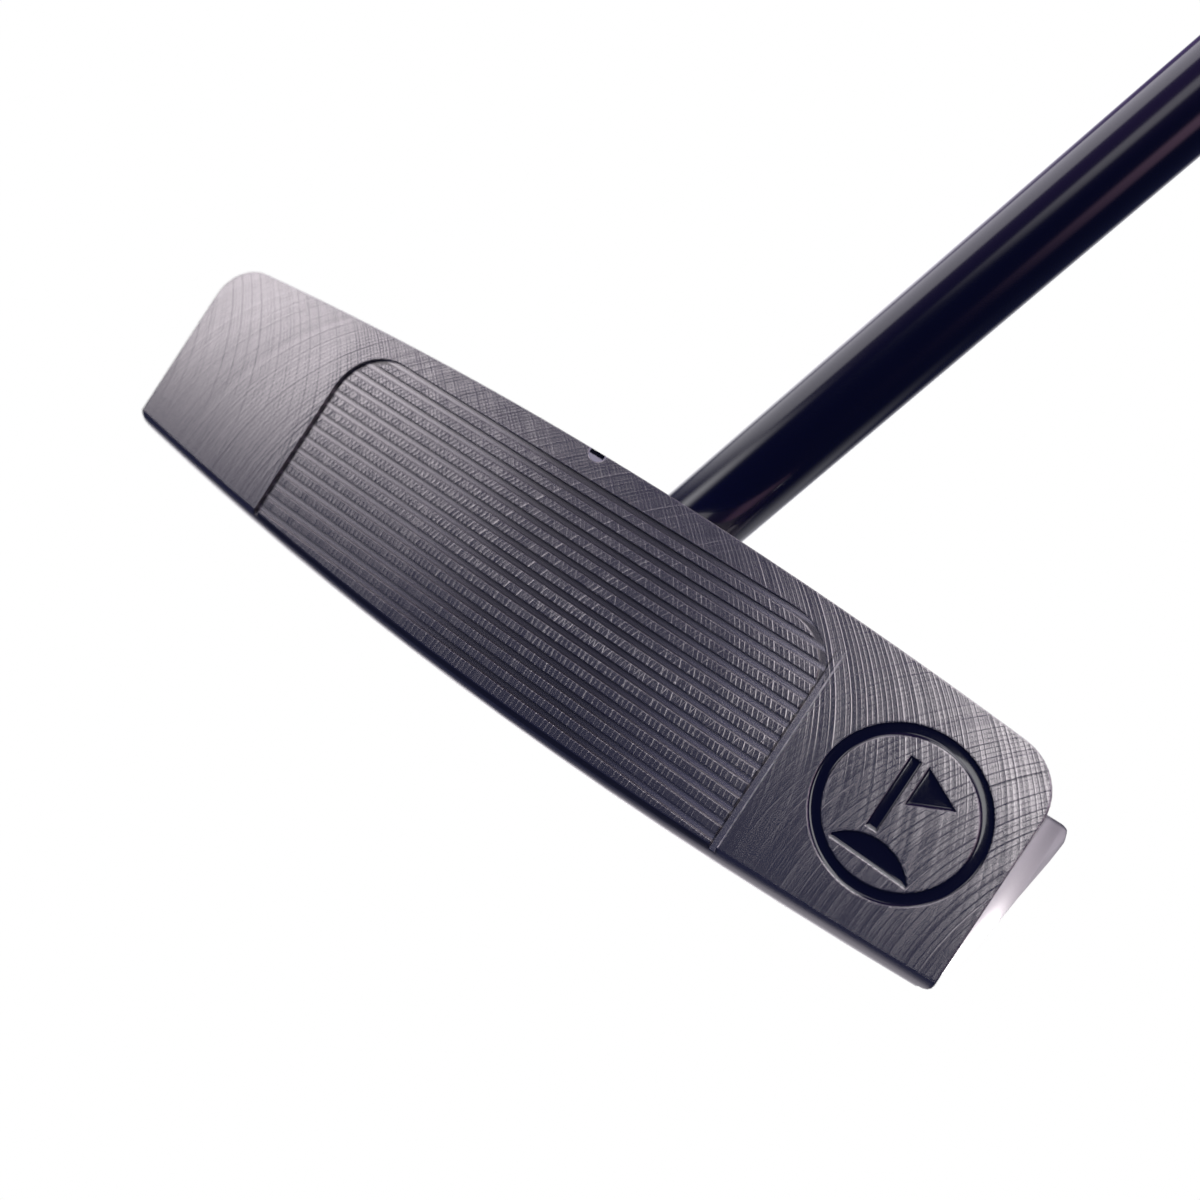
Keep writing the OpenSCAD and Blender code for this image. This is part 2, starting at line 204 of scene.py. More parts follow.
def milled_steel():
    mat, t, b = new_mat("milled_steel")
    tc = t.node("ShaderNodeTexCoord")
    P = t.vm("SCALE", tc.outputs["Object"], scale=1000.0)
    x, y, z = t.sep(P)
    geo = t.node("ShaderNodeNewGeometry")
    N = geo.outputs["True Normal"]
    yf = t.m("ADD", y, -FACE_Y)
    w = t.m("ADD", t.m("MULTIPLY", yf, SL), t.m("MULTIPLY", z, CL))
    d = t.m("SUBTRACT", t.m("MULTIPLY", yf, CL), t.m("MULTIPLY", z, SL))
    facing = t.vm("DOT_PRODUCT", N, (0.0, -CL, SL))
    on_face = t.step(facing, 0.985, 0.995)
    land = t.m("MULTIPLY", on_face, t.step(d, 0.06, 0.12, 1.0, 0.0))
    floor_ = t.m("MULTIPLY", on_face, t.band(d, 0.30, 0.36, 0.5, 0.56))

    # fly-cut marks: two families of arcs of one cutter radius, fed along the face.
    # Each returns the slope of the surface across the marks; the normal is tilted by it.
    dw = t.m("SUBTRACT", w, CUT_Z)
    sq = t.m("SQRT", t.m("MAXIMUM", t.m("SUBTRACT", CUT_R * CUT_R, t.m("MULTIPLY", dw, dw)), 1.0))
    wob = t.m("MULTIPLY", t.m("SUBTRACT", t.noise(P, 0.12, 2.0), 0.5), 0.10)
    ua = t.m("DIVIDE", t.m("ADD", t.m("ADD", x, sq), wob), CUT_PITCH)
    ub = t.m("DIVIDE", t.m("ADD", t.m("SUBTRACT", x, sq), wob), CUT_PITCH)

    def marks(u, seed, cusp, tilt, third=0.0):
        """Slopes across the marks: of the narrow raised edges, and of the finely lined flats between."""
        f = t.m("FRACT", u)
        c = t.m("SUBTRACT", t.m("MULTIPLY", f, 2.0), 1.0)                         # -1..1 across one pass
        kb = t.m("FLOOR", t.m("ADD", u, 0.5))                                     # the nearer edge
        rb = t.white(t.m("ADD", kb, seed))
        deep = t.step(t.m("FRACT", t.m("ADD", t.m("DIVIDE", kb, 3.0), 0.1)), 0.3, 0.4, 1.0, 0.0)
        amp = t.m("MULTIPLY", t.m("ADD", 0.6, t.m("MULTIPLY", rb, 0.8)), t.mix(deep, 1.0 - third, 1.0))
        ca = t.m("ABSOLUTE", c)
        edge = t.m("MULTIPLY", c, t.m("MULTIPLY", ca, t.m("MULTIPLY", ca, ca)))
        edge = t.m("MULTIPLY", t.m("MULTIPLY", edge, amp), cusp)
        r1 = t.white(t.m("ADD", t.m("FLOOR", u), seed + 0.37))
        r2 = t.white(t.m("ADD", t.m("FLOOR", t.m("MULTIPLY", u, 4.0)), seed + 0.71))
        flat = t.m("ADD", t.m("MULTIPLY", t.m("SUBTRACT", r1, 0.5), tilt * 1.4), t.m("MULTIPLY", t.m("SUBTRACT", r2, 0.5), tilt * 2.2))
        return edge, flat

    ea, fa = marks(ua, 11.0, 0.30, 0.022, third=0.40)
    eb, fb = marks(ub, 47.0, 0.30, 0.022, third=0.35)
    # low on the face the two families run together and one covers the other; the first stands out
    # at the heel, the second along the top
    heel = t.step(x, 32.0, 47.0)
    toe = t.step(x, -36.0, -33.0, 1.0, 0.0)
    low = t.step(w, 3.0, 15.0, 1.0, 0.0)
    weight_a = t.mix(toe, t.mix(heel, t.m("SUBTRACT", 1.0, t.m("MULTIPLY", low, 0.9)), t.step(w, 12.0, 20.0, 1.15, 0.75)), t.step(x, -54.0, -36.0, 0.22, 0.50))
    weight_b = t.mix(toe, t.mix(heel, 1.0, t.step(w, 17.0, 25.0, 0.10, 0.60)), t.step(w, 6.0, 20.0, 0.24, 0.46))
    swell = t.m("MULTIPLY", t.m("SUBTRACT", t.noise(t.comb(t.m("MULTIPLY", ua, 0.9), t.m("MULTIPLY", w, 0.02), 0.0), 1.0, 2.0, 0.6), 0.5), 0.42)
    calm = t.m("SUBTRACT", 1.0, t.m("MULTIPLY", t.m("MULTIPLY", t.band(x, -14.0, 0.0, 20.0, 31.0), t.step(w, 12.0, 18.0)), 0.45))
    beside = t.m("MULTIPLY", t.step(x, 32.8, 33.2), t.step(w, 12.0, 22.0, 1.0, 0.0))
    weight_b = t.m("MULTIPLY", weight_b, t.m("SUBTRACT", 1.0, t.m("MULTIPLY", beside, 0.75)))
    even = t.mix(toe, 0.8, 0.45)
    sa = t.m("ADD", t.m("MULTIPLY", ea, t.m("MULTIPLY", weight_a, calm)), t.m("MULTIPLY", swell, heel))
    sa = t.m("MULTIPLY", t.m("ADD", sa, t.m("MULTIPLY", fa, even)), land)
    sb = t.m("MULTIPLY", t.m("ADD", t.m("MULTIPLY", eb, t.m("MULTIPLY", weight_b, calm)), t.m("MULTIPLY", fb, even)), land)
    gx = t.m("MULTIPLY", t.m("ADD", sa, sb), t.m("DIVIDE", sq, CUT_R))
    gw = t.m("MULTIPLY", t.m("SUBTRACT", sb, sa), t.m("DIVIDE", dw, CUT_R))
    # along the heel side of the grooves, a rougher burr line painted lighter as a painted highlight, and painted shade
    # on the end walls of the lands
    below = t.m("MULTIPLY", on_face, t.step(w, 23.0, 26.0, 1.0, 0.0))
    burr_and_painted_highlight = t.m("MULTIPLY", t.band(x, 33.34, 33.40, 33.48, 33.56), below)
    end_wall_painted_shade = t.m("MULTIPLY", t.band(x, 32.52, 32.60, 32.70, 32.78), below)
    tilt = t.comb(gx, t.m("MULTIPLY", gw, SL), t.m("MULTIPLY", gw, CL))
    grain = t.noise(P, 9.0, 3.0, 0.6)
    along = t.noise(t.comb(t.m("MULTIPLY", ub, 6.0), t.m("MULTIPLY", w, 0.35), 0.0), 1.0, 4.0, 0.65)
    cut = t.m("ADD", t.m("MULTIPLY", along, 0.20), t.m("MULTIPLY", grain, 0.40))

    # groove floors: lines along the cutter's path
    gl = t.noise(t.comb(t.m("MULTIPLY", x, 0.12), t.m("MULTIPLY", w, 9.0), 0.0), 1.0, 3.0, 0.6)
    gfloor = t.m("ADD", t.m("MULTIPLY", gl, 0.8), t.m("MULTIPLY", grain, 0.25))

    # every other surface: fine end-milled lines that follow the surface
    nx, ny, nz = t.sep(N)
    up = t.step(t.m("ABSOLUTE", nz), 0.6, 0.85)
    lines_h = t.noise(t.comb(t.m("MULTIPLY", x, 0.10), t.m("MULTIPLY", y, 4.2), t.m("MULTIPLY", z, 1.2)), 1.0, 3.0, 0.55)
    lines_v = t.noise(t.comb(t.m("MULTIPLY", x, 0.20), t.m("MULTIPLY", y, 0.2), t.m("MULTIPLY", z, 4.2)), 1.0, 3.0, 0.55)
    other = t.m("ADD", t.mix(up, lines_v, lines_h), t.m("MULTIPLY", grain, 0.35))

    h = t.mix(land, t.mix(floor_, t.m("MULTIPLY", other, 0.55), t.m("MULTIPLY", gfloor, 0.7)), cut)
    bev = t.node("ShaderNodeBevel", samples=4)
    fine_edge = t.m("MULTIPLY", t.band(x, -33.9, -33.5, 33.5, 33.9), t.m("MULTIPLY", on_face, t.step(w, 27.0, 27.4, 1.0, 0.0)))
    t.put(bev.inputs["Radius"], t.m("ADD", t.mix(fine_edge, 0.00021, 0.00014), t.step(x, 54.0, 55.0, 0.0, 0.00028)))
    bump = t.node("ShaderNodeBump")
    bump.inputs["Strength"].default_value = 1.0
    bump.inputs["Distance"].default_value = 1.0
    t.put(bump.inputs["Height"], t.m("MULTIPLY", h, 8.0e-6))
    t.put(bump.inputs["Normal"], t.vm("NORMALIZE", t.vm("SUBTRACT", bev.outputs[0], tilt)))

    grain_and_painted_light = t.m("ADD", 0.9, t.m("MULTIPLY", t.m("SUBTRACT", grain, 0.5), 0.25))
    # inside the grooves, painted light and shade: the floors get a painted highlight at the lower corner and painted
    # shade towards the upper wall. They are painted lighter towards the toe and the heel and darker mid-face, and the
    # groove walls are painted half as dark
    inner = t.m("MULTIPLY", t.step(d, 0.05, 0.10), t.step(d, 0.48, 0.60, 1.0, 0.0))
    inner = t.m("MULTIPLY", inner, t.band(x, -33.8, -33.4, 33.4, 33.8))
    q = t.m("DIVIDE", t.m("MULTIPLY", t.m("FRACT", t.m("DIVIDE", t.m("SUBTRACT", w, 25.73 - 32.1), 1.605)), 1.605), 0.72)
    painted_light_across_groove = t.m("MULTIPLY", t.step(q, 0.02, 0.30, 0.45, 1.0), t.step(q, 0.42, 1.0, 1.0, 0.42))
    painted_light_along_face = t.m("ADD", t.step(x, -14.0, 0.0, 1.30, 0.72), t.step(x, 12.0, 30.0, 0.0, 1.0))
    heel_groove_highlight_mask = t.band(x, 32.60, 32.75, 33.35, 33.50)                              # the upright groove at the heel end, painted lighter throughout as a painted highlight
    floor_painted_light = t.mix(heel_groove_highlight_mask, t.m("MULTIPLY", painted_light_across_groove, painted_light_along_face), 1.4)
    grain_and_painted_light = t.m("MULTIPLY", grain_and_painted_light, t.mix(inner, 1.0, t.mix(on_face, 0.50, floor_painted_light)))
    # painted shade on the end walls of the lands
    grain_and_painted_light = t.m("MULTIPLY", grain_and_painted_light, t.mix(end_wall_painted_shade, 1.0, 0.35))
    # the line along the heel side of the grooves: broken up along its length, painted lighter as a painted highlight,
    # and rougher like a burr
    burr_and_highlight_breaks = t.step(t.noise(t.comb(0.0, 0.0, t.m("MULTIPLY", w, 1.1)), 1.0, 2.0, 0.5), 0.35, 0.65, 0.25, 1.0)
    burr_and_painted_highlight = t.m("MULTIPLY", burr_and_painted_highlight, burr_and_highlight_breaks)
    grain_and_painted_light = t.m("MULTIPLY", grain_and_painted_light, t.mix(burr_and_painted_highlight, 1.0, 1.75))
    # base colour: the steel with its random grain tone, times the painted light and shade of the grooves, the land end
    # walls and the heel-side line
    t.put(b.inputs["Base Color"], t.vm("SCALE", t.comb(*STEEL), scale=grain_and_painted_light))
    b.inputs["Metallic"].default_value = 1.0
    rough = t.mix(land, t.mix(floor_, 0.30, 0.26), t.m("ADD", 0.20, t.m("MULTIPLY", grain, 0.08)))
    t.put(b.inputs["Roughness"], t.mix(burr_and_painted_highlight, rough, 0.60))
    t.put(b.inputs["Normal"], bump.outputs[0])
    return mat


# ---------------------------------------------------------------- grip rubber
def grip_rubber():
    """Black rubber with rows of small dimples, and a fine grain."""
    mat, t, b = new_mat("grip_rubber")
    tc = t.node("ShaderNodeTexCoord")
    P = t.vm("SCALE", tc.outputs["Object"], scale=1000.0)
    along = t.vm("DOT_PRODUCT", P, (math.cos(LIE), 0, math.sin(LIE)))
    lx = t.vm("DOT_PRODUCT", P, (-math.sin(LIE), 0, math.cos(LIE)))
    ly = t.vm("DOT_PRODUCT", P, (0, -1, 0))
    ang = t.m("ARCTAN2", ly, lx)
    row = t.m("DIVIDE", along, 1.95)
    shift = t.m("MULTIPLY", t.m("FRACT", t.m("MULTIPLY", t.m("FLOOR", row), 0.5)), 1.0)
    col = t.m("ADD", t.m("MULTIPLY", ang, 33 / (2 * math.pi)), shift)
    fx = t.m("MULTIPLY", t.m("SUBTRACT", t.m("FRACT", col), 0.5), 2.25)
    fy = t.m("MULTIPLY", t.m("SUBTRACT", t.m("FRACT", row), 0.5), 1.95)
    dist = t.m("SQRT", t.m("ADD", t.m("MULTIPLY", fx, fx), t.m("MULTIPLY", fy, fy)))
    dimple = t.step(dist, 0.42, 0.68)
    inside = t.band(along, 630.0, 631.0, 862.0, 863.0)
    # two plain lanes mark the edges of the flat thumb side
    aa = t.m("ABSOLUTE", ang)
    lane = t.m("SUBTRACT", 1.0, t.band(aa, 0.60, 0.63, 0.70, 0.73))
    mask = t.m("MULTIPLY", inside, lane)
    h = t.m("MULTIPLY", t.m("SUBTRACT", dimple, 1.0), mask)
    grain = t.noise(P, 3.2, 3.0, 0.6)
    hh = t.m("ADD", t.m("MULTIPLY", h, 0.16e-3), t.m("MULTIPLY", grain, 0.012e-3))
    bump = t.node("ShaderNodeBump")
    bump.inputs["Distance"].default_value = 1.0
    t.put(bump.inputs["Height"], hh)
    t.put(b.inputs["Normal"], bump.outputs[0])
    b.inputs["Base Color"].default_value = (0.016, 0.016, 0.018, 1)
    t.put(b.inputs["Roughness"], t.m("ADD", 0.44, t.m("MULTIPLY", grain, 0.16)))
    return mat


# ---------------------------------------------------------------- materials by slot
M = {
    "milled_steel": milled_steel(),
    "navy_enamel": simple("navy_enamel", (0.0024, 0.0030, 0.0200), 0.10, coat=1.0, coat_rough=0.02, bump=(900, 5e-6, 2.0)),
    "white_enamel": simple("white_enamel", (0.82, 0.80, 0.86), 0.22),
    "black_enamel": simple("black_enamel", (0.002, 0.003, 0.014), 0.15, coat=0.5),
    "black_shaft": simple("black_shaft", (0.0008, 0.0016, 0.0340), 0.20, coat=1.0, coat_rough=0.03, spec=0.5, bump=(110, 3e-6, 1.0)),
    "epoxy": simple("epoxy", (0.50, 0.42, 0.24), 0.25),
    "plug": simple("plug", (0.45, 0.28, 0.14), 0.8, bump=(1800, 8e-5, 3.0)),
    "tape": simple("tape", (0.72, 0.69, 0.58), 0.7),
    "core_rubber": simple("core_rubber", (0.030, 0.030, 0.034), 0.8, bump=(2500, 3e-5, 3.0)),
    "grip_rubber": grip_rubber(),
    "collar_rubber": simple("collar_rubber", (0.014, 0.014, 0.016), 0.42, bump=(3000, 1e-5, 2.0)),
    "cap_rubber": simple("cap_rubber", (0.012, 0.012, 0.014), 0.40, bump=(3000, 1e-5, 2.0)),
}
SLOT_OF = {s["node"]: s["material_slot"] for s in frame["record"]["subparts"]}
for name, o in NODES.items():
    o.data.materials.clear()
    o.data.materials.append(M[SLOT_OF[name]])

# ---------------------------------------------------------------- rounds read as rounds
def smooth_facets(o, limit=23.0):
    """Shades shallow facets smooth and keeps real edges sharp. No vertex is touched."""
    me = o.data
    nv, ne, npoly = len(me.vertices), len(me.edges), len(me.polygons)
    co = np.empty(nv * 3, np.float32)
    me.vertices.foreach_get("co", co)
    keys = {}
    vid = np.array([keys.setdefault(tuple(k), len(keys)) for k in np.round(co.reshape(-1, 3).astype(np.float64) * 2e6).astype(np.int64)])
    ev = np.empty(ne * 2, np.int32)
    me.edges.foreach_get("vertices", ev)
    ev = np.sort(vid[ev.reshape(-1, 2)], axis=1)
    around = {}
    for p in me.polygons:
        nrm = np.array(p.normal)
        ids = [int(vid[v]) for v in p.vertices]
        for a, b in zip(ids, ids[1:] + ids[:1]):
            around.setdefault((min(a, b), max(a, b)), []).append(nrm)
    cosl = math.cos(math.radians(limit))
    sharp = np.ones(ne, bool)
    for i, (a, b) in enumerate(ev):
        ns = around.get((int(a), int(b)), [])
        if len(ns) == 2 and float(ns[0] @ ns[1]) > cosl:
            down = sorted(float(n[2]) for n in ns)
            sharp[i] = down[0] < -0.9999999 and down[1] > -0.99999       # rim of the sole's flat
    for name in ("custom_normal", "sharp_edge", "sharp_face"):
        at = me.attributes.get(name)
        if at is not None:
            me.attributes.remove(at)
    at = me.attributes.new("sharp_edge", "BOOLEAN", "EDGE")
    at.data.foreach_set("value", sharp)
    me.polygons.foreach_set("use_smooth", np.ones(npoly, bool))
    me.update()
    wd = o.modifiers.new("weld", "WELD")
    wd.merge_threshold = 1e-6
    wn = o.modifiers.new("even_normals", "WEIGHTED_NORMAL")
    wn.mode = "FACE_AREA"
    wn.weight = 50
    wn.keep_sharp = True


for nm in ("head_body", "sight_line_white", "sight_line_stripe", "shaft_bond", "shaft_tip_plug", "grip_core", "grip_tape"):
    smooth_facets(NODES[nm])

# ---------------------------------------------------------------- fine meshes in place of the plain CAD ones
SHAFT_DIR = Vector((math.cos(LIE), 0, math.sin(LIE)))
SHAFT_X = Vector((-math.sin(LIE), 0, math.cos(LIE)))          # thumb side
SHAFT_Y = Vector((0, -1, 0))


def on_shaft(x, y, t):
    """Point beside the shaft, in metres: t runs up the shaft from the ground."""
    return (SHAFT_X * x + SHAFT_Y * y + SHAFT_DIR * t) * 0.001


def add_mesh(name, verts, faces, mat, replaces, sharp=35.0):
    me = bpy.data.meshes.new(name)
    me.from_pydata([tuple(v) for v in verts], [], faces)
    bm = bmesh.new()
    bm.from_mesh(me)
    bmesh.ops.remove_doubles(bm, verts=bm.verts, dist=1e-8)
    bmesh.ops.recalc_face_normals(bm, faces=bm.faces)
    bm.to_mesh(me)
    bm.free()
    me.shade_smooth()
    if sharp:
        me.set_sharp_from_angle(angle=math.radians(sharp))
    me.materials.append(mat)
    o = bpy.data.objects.new(name, me)
    bpy.context.scene.collection.objects.link(o)
    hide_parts(replaces)
    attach(o, "root")
    return o


def ring_faces(rows, n, closed=True):
    """Quads between rows of n points; each row closes on itself."""
    out = []
    for i in range(rows if closed else rows - 1):
        a, b = i * n, ((i + 1) % rows) * n
        for k in range(n):
            out.append((a + k, a + (k + 1) % n, b + (k + 1) % n, b + k))
    return out


def revolve_closed(profile, n, place):
    """Solid of revolution of a closed profile of (radius, height) points."""
    verts = [place(r * math.cos(2 * math.pi * k / n), r * math.sin(2 * math.pi * k / n), z)
             for r, z in profile for k in range(n)]
    return verts, ring_faces(len(profile), n)


# -- enamel in the badge pockets: it climbs the walls a little, as poured enamel does
def enamel_z(s):
    return 0.17 - 0.12 * math.exp(-max(s, 0.0) / 0.11)


def badge_pt(u, v, depth):
    return face_pt(BADGE[0] + u, BADGE[1] + v, depth)


INSETS = [-0.02, 0.025, 0.06, 0.10, 0.15, 0.22, 0.31, 0.43]


def enamel_ring():
    r1, r0 = 8.3, 8.3 - 1.25
    mid = (r1 - r0) / 2
    s_list = INSETS + [0.53, mid]
    prof = [(r0 - 0.02, 0.685)] + [(r0 + s, enamel_z(s)) for s in s_list] + [(r1 - s, enamel_z(s)) for s in reversed(s_list[:-1])] + [(r1 + 0.02, 0.685)]
    n = 256
    verts = [badge_pt(r * math.cos(2 * math.pi * k / n), r * math.sin(2 * math.pi * k / n), d) for r, d in prof for k in range(n)]
    return verts, ring_faces(len(prof), n)


def enamel_patch(outline_at, s_max, centre):
    """outline_at(s) gives the outline drawn in by s, always with the same number of points."""
    steps = [s for s in INSETS if s < s_max * 0.92] + [s_max * 0.97]
    loops = [(outline_at(-0.02), 0.685)] + [(outline_at(s), enamel_z(s)) for s in steps]
    n = len(loops[0][0])
    verts = [badge_pt(u, v, d) for loop, d in loops for u, v in loop]
    faces = ring_faces(len(loops), n, closed=False)
    top, bottom = len(verts), len(verts) + 1
    verts += [badge_pt(*centre, enamel_z(s_max)), badge_pt(*centre, 0.685)]
    last = (len(loops) - 1) * n
    faces += [(last + k, last + (k + 1) % n, top) for k in range(n)]
    faces += [((k + 1) % n, k, bottom) for k in range(n)]
    return verts, faces


def rounded(corners, r, s, per_edge=14, per_corner=6):
    """Outline of a convex polygon with corners of radius r, drawn in by s."""
    out = []
    m = len(corners)
    for i in range(m):
        p0, p1, p2 = (Vector(corners[(i + j) % m]) for j in (-1, 0, 1))
        d0, d1 = (p1 - p0).normalized(), (p2 - p1).normalized()
        n0, n1 = Vector((-d0.y, d0.x)), Vector((-d1.y, d1.x))
        half = math.acos(max(-1, min(1, d0.dot(d1)))) / 2
        rr = max(r - s, 0.02)
        c = p1 + (n0 + n1).normalized() * ((s + rr) / math.cos(half))
        a0, a1 = math.atan2(-n0.y, -n0.x), math.atan2(-n1.y, -n1.x)
        if a1 < a0:
            a1 += 2 * math.pi
        out.append([(c.x + rr * math.cos(a0 + (a1 - a0) * k / per_corner), c.y + rr * math.sin(a0 + (a1 - a0) * k / per_corner)) for k in range(per_corner + 1)])
    pts = []
    for i in range(m):
        pts += out[i]
        a, b = Vector(out[i][-1]), Vector(out[(i + 1) % m][0])
        pts += [tuple(a.lerp(b, k / per_edge)) for k in range(1, per_edge)]
    return pts


def green_at(s):
    """Round-topped green, drawn in by s."""
    r, cy, base = 5.1 - s, -8.1, -5.35 + s
    hw = math.sqrt(max(r * r - (base - cy) ** 2, 1e-4))
    a0 = math.atan2(base - cy, hw)
    arc_ = [(r * math.cos(a0 + (math.pi - 2 * a0) * k / 56), cy + r * math.sin(a0 + (math.pi - 2 * a0) * k / 56)) for k in range(57)]
    chord = [(-hw + 2 * hw * k / 40, base) for k in range(1, 40)]
    return arc_ + chord


POLE = [(-1.9, -2.6), (-0.7, -2.6), (-0.7, 5.0), (-1.9, 5.0)]
PENNANT = [(0, 0.9), (4.1, 2.95), (0, 5.0)]
side = [math.dist(PENNANT[i], PENNANT[(i + 1) % 3]) for i in range(3)]
r_in = 4.1 * 4.1 / 2 * 2 / sum(side)
inc = tuple(sum(PENNANT[i][k] * side[(i + 1) % 3] for i in range(3)) / sum(side) for k in (0, 1))
NAVY = M["navy_enamel"]
for nm, node, (vv, ff) in (
        ("badge_ring_enamel_fine", "badge_ring_enamel", enamel_ring()),
        ("badge_flagpole_enamel_fine", "badge_flagpole_enamel", enamel_patch(lambda s: rounded(POLE, 0.02, s), 0.6, (-1.3, 1.2))),
        ("badge_pennant_enamel_fine", "badge_pennant_enamel", enamel_patch(lambda s: rounded(PENNANT, 0.02, s), r_in, inc)),
        ("badge_green_enamel_fine", "badge_green_enamel", enamel_patch(green_at, 1.17, (0.0, -4.2)))):
    add_mesh(nm, vv, ff, NAVY, node, sharp=50.0)

# -- stepped shaft
TIP_D, BUTT_D, STEPS, WALL = 9.4, 14.9, 12, 0.5
TIP_T = 4.3 / math.sin(LIE)
BUTT_T = 871.0


def step_r(i):
    return (TIP_D + (BUTT_D - TIP_D) * i / STEPS) / 2


def shaft_edge(inset):
    """Outer profile from tip to butt, with a small blend at each end of a step's ramp."""
    pts = []
    for i in range(1, STEPS + 1):
        t1 = 215 + TIP_T + 31 * (i - 1)
        t0 = t1 - 1.2
        ra, rb = step_r(i - 1) - inset, step_r(i) - inset
        for t, f in ((t0 - 3, 0), (t0 - 0.35, 0), (t0 - 0.1, 0.01), (t0 + 0.2, 0.10), (t0 + 0.6, 0.5), (t1 - 0.2, 0.90), (t1 + 0.1, 0.99), (t1 + 0.35, 1), (t1 + 3, 1)):
            pts.append((ra + (rb - ra) * f, t))
    return pts


outer = [(step_r(0) - 0.25, TIP_T), (step_r(0), TIP_T + 0.25)] + [(step_r(0), t) for t in (12, 30, 60, 90, 120, 150, 180)] + shaft_edge(0) + [(BUTT_D / 2, 600), (BUTT_D / 2, 740), (BUTT_D / 2, BUTT_T)]
inner = [(step_r(0) - WALL, TIP_T)] + shaft_edge(WALL) + [(BUTT_D / 2 - WALL, BUTT_T)]
vv, ff = revolve_closed(outer + inner[::-1], 160, on_shaft)
add_mesh("shaft_tube_fine", vv, ff, M["black_shaft"], "shaft_tube", sharp=40.0)

# -- grip: skin, collar and end cap
GRIP_T, GRIP_L, SKIN, COLLAR = 609.0, 262.0, 1.4, 14.0
FLAT, LEAN, CORE_R = 11.4, math.radians(0.33), 7.70


def grip_r(t):
    return 9.8 + 3.7 * max(0.0, min(1.0, (t - GRIP_T) / GRIP_L)) ** 1.3


def grip_section(t, inset, n, blend=0.55):
    """Round section with a flat thumb side; the two meet in a small blend."""
    r = grip_r(t) - inset
    fl = FLAT - inset - (BUTT_T - t) * math.tan(LEAN)
    pts = []
    for k in range(n):
        a = 2 * math.pi * k / n
        c = math.cos(a)
        rr = r
        if c > 0.2:
            d = fl / c
            m_ = (r + d) / 2 - math.sqrt(((r - d) / 2) ** 2 + (blend * 0.25) ** 2) + 0.0     # smooth minimum
            rr = min(r, m_ + blend * 0.06)
        pts.append((rr * c, rr * math.sin(a)))
    return pts


def skin_mesh():
    n, rows = 288, 248
    t0, t1 = GRIP_T + COLLAR, BUTT_T
    ts = [t0 + (t1 - t0) * i / rows for i in range(rows + 1)]
    verts, count = [], 0
    for t in ts:
        verts += [on_shaft(x, y, t) for x, y in grip_section(t, 0.0, n)]
    for t in reversed(ts[::8]):
        verts += [on_shaft(x, y, t) for x, y in grip_section(t, SKIN, n)]
    return verts, ring_faces(len(verts) // n, n)


vv, ff = skin_mesh()
add_mesh("grip_skin_fine", vv, ff, M["grip_rubber"], "grip_skin", sharp=50.0)

collar = [(7.7, 623.0), (7.7, 609.0), (8.6, 609.0), (8.85, 609.12), (9.35, 609.6)]
collar += [(9.75 + 0.35 * math.sin(a * math.pi / 16), 611.2 - 1.0 * (1 - a / 8)) for a in range(1, 9)]
collar += [(10.1, 613.0)]
for c in (615.0, 617.2, 619.4):                                   # three shallow rings
    collar += [(10.1, c - 0.45), (10.02, c - 0.32), (9.86, c - 0.15), (9.82, c), (9.86, c + 0.15), (10.02, c + 0.32), (10.1, c + 0.45)]
collar += [(10.1, 621.8), (10.08, 622.4), (9.98, 622.85), (9.8, 623.0)]
vv, ff = revolve_closed(collar, 192, on_shaft)
add_mesh("grip_collar_fine", vv, ff, M["collar_rubber"], "grip_collar", sharp=45.0)


def cap_mesh():
    n = 240
    rows = []

    def sec(t, inset):
        r, fl, pts = 13.5 - inset, FLAT - inset, []
        for k in range(n):
            a = 2 * math.pi * k / n
            c = math.cos(a)
            rr = r
            if c > 0.2:
                dd = fl / c
                rr = min(r, (r + dd) / 2 - math.sqrt(((r - dd) / 2) ** 2 + 0.02) + 0.03)
            pts.append(on_shaft(rr * c, rr * math.sin(a), t))
        rows.append(pts)

    def circ(t, r):
        rows.append([on_shaft(r * math.cos(2 * math.pi * k / n), r * math.sin(2 * math.pi * k / n), t) for k in range(n)])

    sec(871.0, 0.0)
    sec(871.15, 0.12)
    sec(871.45, 0.12)
    sec(871.6, 0.0)
    for i in range(9):
        a = math.pi / 2 * i / 8
        sec(874.2 + 1.75 * math.sin(a), 1.75 * (1 - math.cos(a)))
    circ(876.0, 9.0)
    circ(875.98, 8.6)
    circ(875.72, 8.35)
    circ(875.70, 8.0)
    circ(875.70, 2.3)
    circ(875.62, 1.95)
    circ(875.4, 1.8)
    circ(871.0, 1.8)
    circ(871.0, 4.95)
    circ(862.0, 4.95)
    circ(862.0, 6.85)
    circ(871.0, 6.85)
    return [p for row in rows for p in row], ring_faces(len(rows), n)


vv, ff = cap_mesh()
add_mesh("grip_end_cap_fine", vv, ff, M["cap_rubber"], "grip_end_cap", sharp=40.0)

# ---------------------------------------------------------------- studio
world = bpy.data.worlds.new("studio")
bpy.context.scene.world = world
world.use_nodes = True
t = NT(world.node_tree)
for nd in list(t.n):
    t.n.remove(nd)
wout = t.node("ShaderNodeOutputWorld")
tc = t.node("ShaderNodeTexCoord")
dx, dy, dz = t.sep(t.vm("NORMALIZE", tc.outputs["Generated"]))
az = t.m("MULTIPLY", t.m("ARCTAN2", dx, t.m("MULTIPLY", dy, -1.0)), 180 / math.pi)
el = t.m("MULTIPLY", t.m("ARCSINE", dz), 180 / math.pi)


def box_light(az0, az1, el0, el1, soft_az, soft_el, e):
    """Soft-edged rectangle of light between two azimuths and two elevations."""
    return t.m("MULTIPLY", t.m("MULTIPLY", t.band(az, az0 - soft_az, az0 + soft_az, az1 - soft_az, az1 + soft_az),
                               t.band(el, el0 - soft_el, el0 + soft_el, el1 - soft_el, el1 + soft_el)), e)


def total(parts):
    out = parts[0]
    for p in parts[1:]:
        out = t.m("ADD", out, p)
    return out


